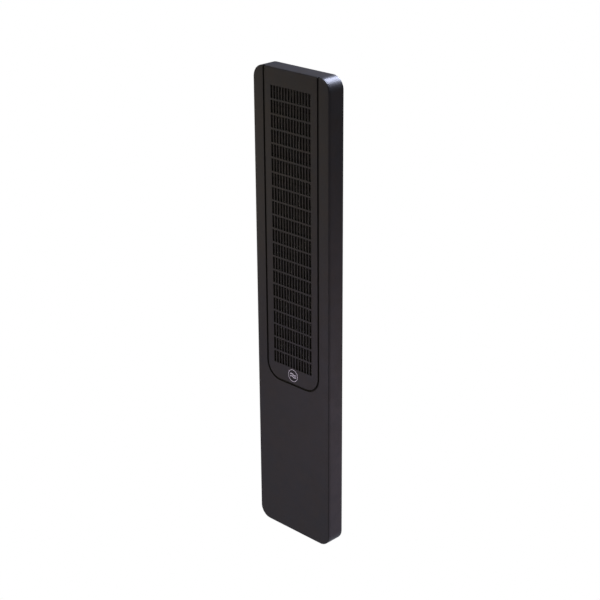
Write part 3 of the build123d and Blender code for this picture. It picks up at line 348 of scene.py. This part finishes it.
def make_net():
    """The prefilter's net: flat threads across, laid on flat threads up and down."""
    low, high = (Vector(corner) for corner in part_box("prefilter_mesh"))
    middle, half = (low + high) / 2, (high - low) / 2
    layer = Vector((0.0, half.y / 2, 0.0))
    mesh = bmesh.new()
    for axis, other, side in ((0, 2, -1), (2, 0, 1)):
        count = round(2 * half[other] / NET_PITCH)
        for step in range(count + 1):
            centre = middle + side * layer
            travel = 2 * half[other] - NET_THREAD
            centre[other] = low[other] + NET_THREAD / 2 + travel * step / count
            along, across = Vector(), Vector()
            along[axis] = half[axis]
            across[other] = NET_THREAD / 2
            add_prism(mesh, centre, along, across, layer)
    slot = SLOT_OF["prefilter_mesh"]
    net = add_piece("prefilter_net", mesh, BODY_OF["prefilter_mesh"], slot)
    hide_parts("prefilter_mesh")


# The rocker rests at one end of its travel, so it leans half of that travel from level. Its
# face lies below its pivot, with a mark to each side of the middle, whose sizes are half sizes.
ROCKER_PIVOT = Vector(JOINTS["rocker_tilt"]["pos_m"])
ROCKER_LEAN = -sum(JOINTS["rocker_tilt"]["range_deg"]) / 2
ROCKER_FACE = 4.2 * MM
MARK_PLACE = 4.3 * MM
MARK_PROUD = 0.06 * MM
MARK_SIZE = 1.2 * MM
MARK_STROKE = 0.25 * MM
MARK_STEPS = 32


def make_rocker_marks():
    """The generic on and off marks of a rocker switch: a printed bar and a printed ring."""
    mesh = bmesh.new()
    bar, ring = Vector((-MARK_PLACE, 0, -ROCKER_FACE)), Vector((MARK_PLACE, 0, -ROCKER_FACE))
    thin = Vector((0, 0, MARK_PROUD))
    add_prism(mesh, bar, Vector((0, MARK_SIZE, 0)), Vector((MARK_STROKE, 0, 0)), thin)
    turn = [math.tau * i / MARK_STEPS for i in range(MARK_STEPS)]
    inner = MARK_SIZE - 2 * MARK_STROKE
    loops = []
    for radius, side in ((MARK_SIZE, -1), (MARK_SIZE, 1), (inner, 1), (inner, -1)):
        rim = [ring + side * thin + radius * Vector((math.cos(a), math.sin(a), 0)) for a in turn]
        loops.append([mesh.verts.new(point) for point in rim])
    for here, there in zip(loops, loops[1:] + loops[:1]):
        for i in range(MARK_STEPS):
            j = (i + 1) % MARK_STEPS
            mesh.faces.new((here[i], here[j], there[j], there[i]))
    lean = Matrix.Rotation(math.radians(ROCKER_LEAN), 4, "Y")
    mesh.transform(Matrix.Translation(ROCKER_PIVOT) @ lean)
    add_piece("rocker_marks", mesh, "rocker", "socket_plastic")


# The stator's teeth, where a coil starts and ends from the shaft, and its wire: the radius, how
# far the middle of each layer lies off the tooth, and the turns in a layer.
TEETH = 9
TOOTH_HALF_WIDE = 1.5 * MM
TOOTH_HALF_DEEP = 3.0 * MM
COIL_INNER = 10.0 * MM
COIL_OUTER = 15.0 * MM
WIRE = 0.22 * MM
LAYERS = (0.28 * MM, 0.74 * MM)
TURNS = 11


def coil_points():
    """One coil's wire as (along the tooth, across it, in depth), layer on layer."""
    points = []
    for layer, over in enumerate(LAYERS):
        wide, deep = TOOTH_HALF_WIDE + over, TOOTH_HALF_DEEP + over
        quarter = [(wide, over - deep), (wide, deep - over), (wide - over, deep), (over - wide, deep)]
        corners = quarter + [(-across, -depth) for across, depth in quarter]
        count = TURNS * len(corners)
        for step in range(count + 1):
            share = step / count
            if layer % 2:
                share = 1 - share
            across, depth = corners[step % len(corners)]
            points.append((COIL_INNER + share * (COIL_OUTER - COIL_INNER), across, depth))
    return points


def make_windings():
    """Wound copper wire on each stator tooth, in place of the CAD model's plain coils."""
    low, high = (Vector(corner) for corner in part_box("stator_core"))
    middle = (low + high) / 2
    wires = bpy.data.curves.new("wound_coils", "CURVE")
    wires.dimensions = "3D"
    wires.bevel_depth = WIRE
    wires.bevel_resolution = 1
    wires.use_fill_caps = True
    for tooth in range(TEETH):
        angle = math.tau * tooth / TEETH
        out = Vector((math.cos(angle), 0, math.sin(angle)))
        side = Vector((-math.sin(angle), 0, math.cos(angle)))
        route = coil_points()
        spline = wires.splines.new("POLY")
        spline.points.add(len(route) - 1)
        for point, (along, across, depth) in zip(spline.points, route):
            point.co = (*(middle + along * out + across * side + Vector((0, depth, 0))), 1.0)
    slot = SLOT_OF["stator_windings"]
    wires.materials.append(LOOKS[slot].material)
    coils = bpy.data.objects.new("wound_coils", wires)
    bpy.context.scene.collection.objects.link(coils)
    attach(coils, BODY_OF["stator_windings"])
    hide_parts("stator_windings")


# A chip's half sizes, the length of each tinned end, and the step from one chip to the next.
CHIP_HALF = Vector((1.0, 0.3, 0.6)) * MM
CHIP_END = 0.3 * MM
CHIP_STEP = 3.2 * MM


def make_chips():
    """Rows of small surface-mounted parts, each with two tinned ends, on both boards."""
    # The board, the row's start from the board's middle in board sizes, and how many.
    rows = (
        ("control_board", Vector((-0.20, 0, 0.22)), 5),
        ("control_board", Vector((0.10, 0, -0.20)), 6),
        ("control_board", Vector((0.10, 0, 0.24)), 4),
        ("power_board", Vector((-0.34, 0, -0.10)), 4),
        ("power_board", Vector((-0.34, 0, -0.20)), 4),
        ("power_board", Vector((0.36, 0, 0.10)), 2),
    )
    bodies, ends = bmesh.new(), bmesh.new()
    long_half = Vector((CHIP_HALF.x, 0, 0))
    end_half = Vector((CHIP_END / 2, 0, 0))
    section = (Vector((0, 0, CHIP_HALF.z)), Vector((0, CHIP_HALF.y, 0)))
    for board, share, count in rows:
        low, high = (Vector(corner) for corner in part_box(board))
        size = high - low
        start = (low + high) / 2 + Vector((share.x * size.x, 0, share.z * size.z))
        start.y = low.y - CHIP_HALF.y
        for step in range(count):
            centre = start + Vector((step * CHIP_STEP, 0, 0))
            add_prism(bodies, centre, long_half, *section)
            for side in (-1, 1):
                add_prism(ends, centre + side * (long_half + end_half), end_half, *section)
    add_piece("chip_bodies", bodies, "housing", "component_black")
    add_piece("chip_ends", ends, "housing", "pin_metal")


# ---------------------------------------------------------------- studio
def direction(azimuth, elevation):
    """Unit vector from the object towards a viewer at that azimuth and elevation."""
    a, e = math.radians(azimuth), math.radians(elevation)
    return Vector((math.sin(a) * math.cos(e), -math.cos(a) * math.cos(e), math.sin(e)))


# Each lamp: its name, its azimuth and elevation in degrees, its distance from the object's
# centre and the side of its square in metres, and its glow: red, green and blue, in watts for
# each square metre of its distance squared.
LAMPS = (
    ("behind_above", 180.0, 42.0, 2.6, 1.2, (13.6, 14.6, 19.0)),
    ("front_high", -15.0, 38.0, 2.6, 1.8, (2.2, 2.05, 1.95)),
    ("edge_low", 45.0, -24.0, 1.8, 0.12, (0.26, 0.22, 0.26)),
    ("right_low", 132.0, -26.0, 1.6, 0.8, (0.37, 0.28, 0.31)),
    ("right_under", 125.0, -45.0, 1.2, 0.6, (0.22, 0.17, 0.24)),
    ("left_far", -62.0, -10.0, 2.2, 0.8, (0.44, 0.38, 0.27)),
    ("front_left", -30.0, -26.0, 2.2, 0.6, (0.36, 0.29, 0.38)),
)


def studio_lamp(name, azimuth, elevation, distance, size, glow):
    """A square soft lamp that faces the object's centre from a direction."""
    towards = direction(azimuth, elevation)
    brightest = max(glow)
    lamp = bpy.data.lights.new(name, "AREA")
    lamp.shape = "SQUARE"
    lamp.size = size
    lamp.energy = brightest * distance**2
    lamp.color = [part / brightest for part in glow]
    holder = bpy.data.objects.new(name, lamp)
    holder.location = CENTRE + distance * towards
    holder.rotation_mode = "QUATERNION"
    holder.rotation_quaternion = (-towards).to_track_quat("-Z", "Y")
    bpy.context.scene.collection.objects.link(holder)


def white_where_seen(tree, lit):
    """A shader that is plain white where the camera sees it, and lit for all other light."""
    path = tree.nodes.new("ShaderNodeLightPath")
    white = tree.nodes.new("ShaderNodeEmission")
    white.inputs["Color"].default_value = (1.0, 1.0, 1.0, 1.0)
    mix = tree.nodes.new("ShaderNodeMixShader")
    tree.links.new(path.outputs["Is Camera Ray"], mix.inputs["Fac"])
    tree.links.new(lit, mix.inputs[1])
    tree.links.new(white.outputs["Emission"], mix.inputs[2])
    return mix.outputs["Shader"]


# The floor, in metres: how far it lies below the object, and half of its side.
FLOOR_DROP = 1.7
FLOOR_HALF = 12.0
FLOOR_COLOUR = (0.82, 0.80, 0.78, 1.0)


def make_floor():
    """A plain white studio floor, well below the object, which hangs from its bracket."""
    mesh = bpy.data.meshes.new("studio_floor")
    signs = ((-1, -1), (1, -1), (1, 1), (-1, 1))
    corners = [(i * FLOOR_HALF, j * FLOOR_HALF, CAD_LOW.z - FLOOR_DROP) for i, j in signs]
    mesh.from_pydata(corners, [], [(0, 1, 2, 3)])
    floor = bpy.data.objects.new("studio_floor", mesh)
    bpy.context.scene.collection.objects.link(floor)
    paint = bpy.data.materials.new("studio_floor")
    paint.use_nodes = True
    paint.node_tree.nodes.clear()
    matt = paint.node_tree.nodes.new("ShaderNodeBsdfDiffuse")
    matt.inputs["Color"].default_value = FLOOR_COLOUR
    end = paint.node_tree.nodes.new("ShaderNodeOutputMaterial")
    shown = white_where_seen(paint.node_tree, matt.outputs["BSDF"])
    paint.node_tree.links.new(shown, end.inputs["Surface"])
    mesh.materials.append(paint)


AIR_COLOUR = (1.0, 0.94, 0.96, 1.0)
AIR_STRENGTH = 0.10


def make_world():
    """Faint even light from all round, plain white where the camera sees it."""
    world = bpy.data.worlds.new("studio_air")
    bpy.context.scene.world = world
    world.use_nodes = True
    tree = world.node_tree
    tree.nodes.clear()
    air = tree.nodes.new("ShaderNodeBackground")
    air.inputs["Color"].default_value = AIR_COLOUR
    air.inputs["Strength"].default_value = AIR_STRENGTH
    end = tree.nodes.new("ShaderNodeOutputWorld")
    tree.links.new(white_where_seen(tree, air.outputs["Background"]), end.inputs["Surface"])


# Where the camera stands, in degrees and metres, how far it is turned off the object's centre,
# in degrees, and its lens and film width in millimetres.
CAMERA_AZIMUTH = 44.61
CAMERA_ELEVATION = 22.93
CAMERA_DISTANCE = 3.0
CAMERA_ROLL = -0.427
CAMERA_YAW = -0.018
CAMERA_PITCH = -0.489
CAMERA_LENS = 89.09
CAMERA_FILM = 36.0
CAMERA_RANGE = (0.1, 60.0)


def make_camera():
    """A long lens above and to the right of the front."""
    lens = bpy.data.cameras.new("camera")
    lens.lens = CAMERA_LENS
    lens.sensor_width = CAMERA_FILM
    lens.clip_start, lens.clip_end = CAMERA_RANGE
    camera = bpy.data.objects.new("camera", lens)
    back = direction(CAMERA_AZIMUTH + CAMERA_YAW, CAMERA_ELEVATION + CAMERA_PITCH)
    turn = math.radians(CAMERA_AZIMUTH + CAMERA_YAW)
    right = Vector((math.cos(turn), math.sin(turn), 0.0))
    up = back.cross(right)
    roll = math.radians(CAMERA_ROLL)
    rolled_right = math.cos(roll) * right + math.sin(roll) * up
    rolled_up = -math.sin(roll) * right + math.cos(roll) * up
    axes = Matrix((rolled_right, rolled_up, back)).transposed().to_4x4()
    place = CENTRE + CAMERA_DISTANCE * direction(CAMERA_AZIMUTH, CAMERA_ELEVATION)
    camera.matrix_world = Matrix.Translation(place) @ axes
    bpy.context.scene.collection.objects.link(camera)
    bpy.context.scene.camera = camera


dress_cad()
make_net()
make_rocker_marks()
make_windings()
make_chips()
make_floor()
make_world()
for lamp in LAMPS:
    studio_lamp(*lamp)
make_camera()
bpy.context.scene.view_settings.view_transform = "Standard"
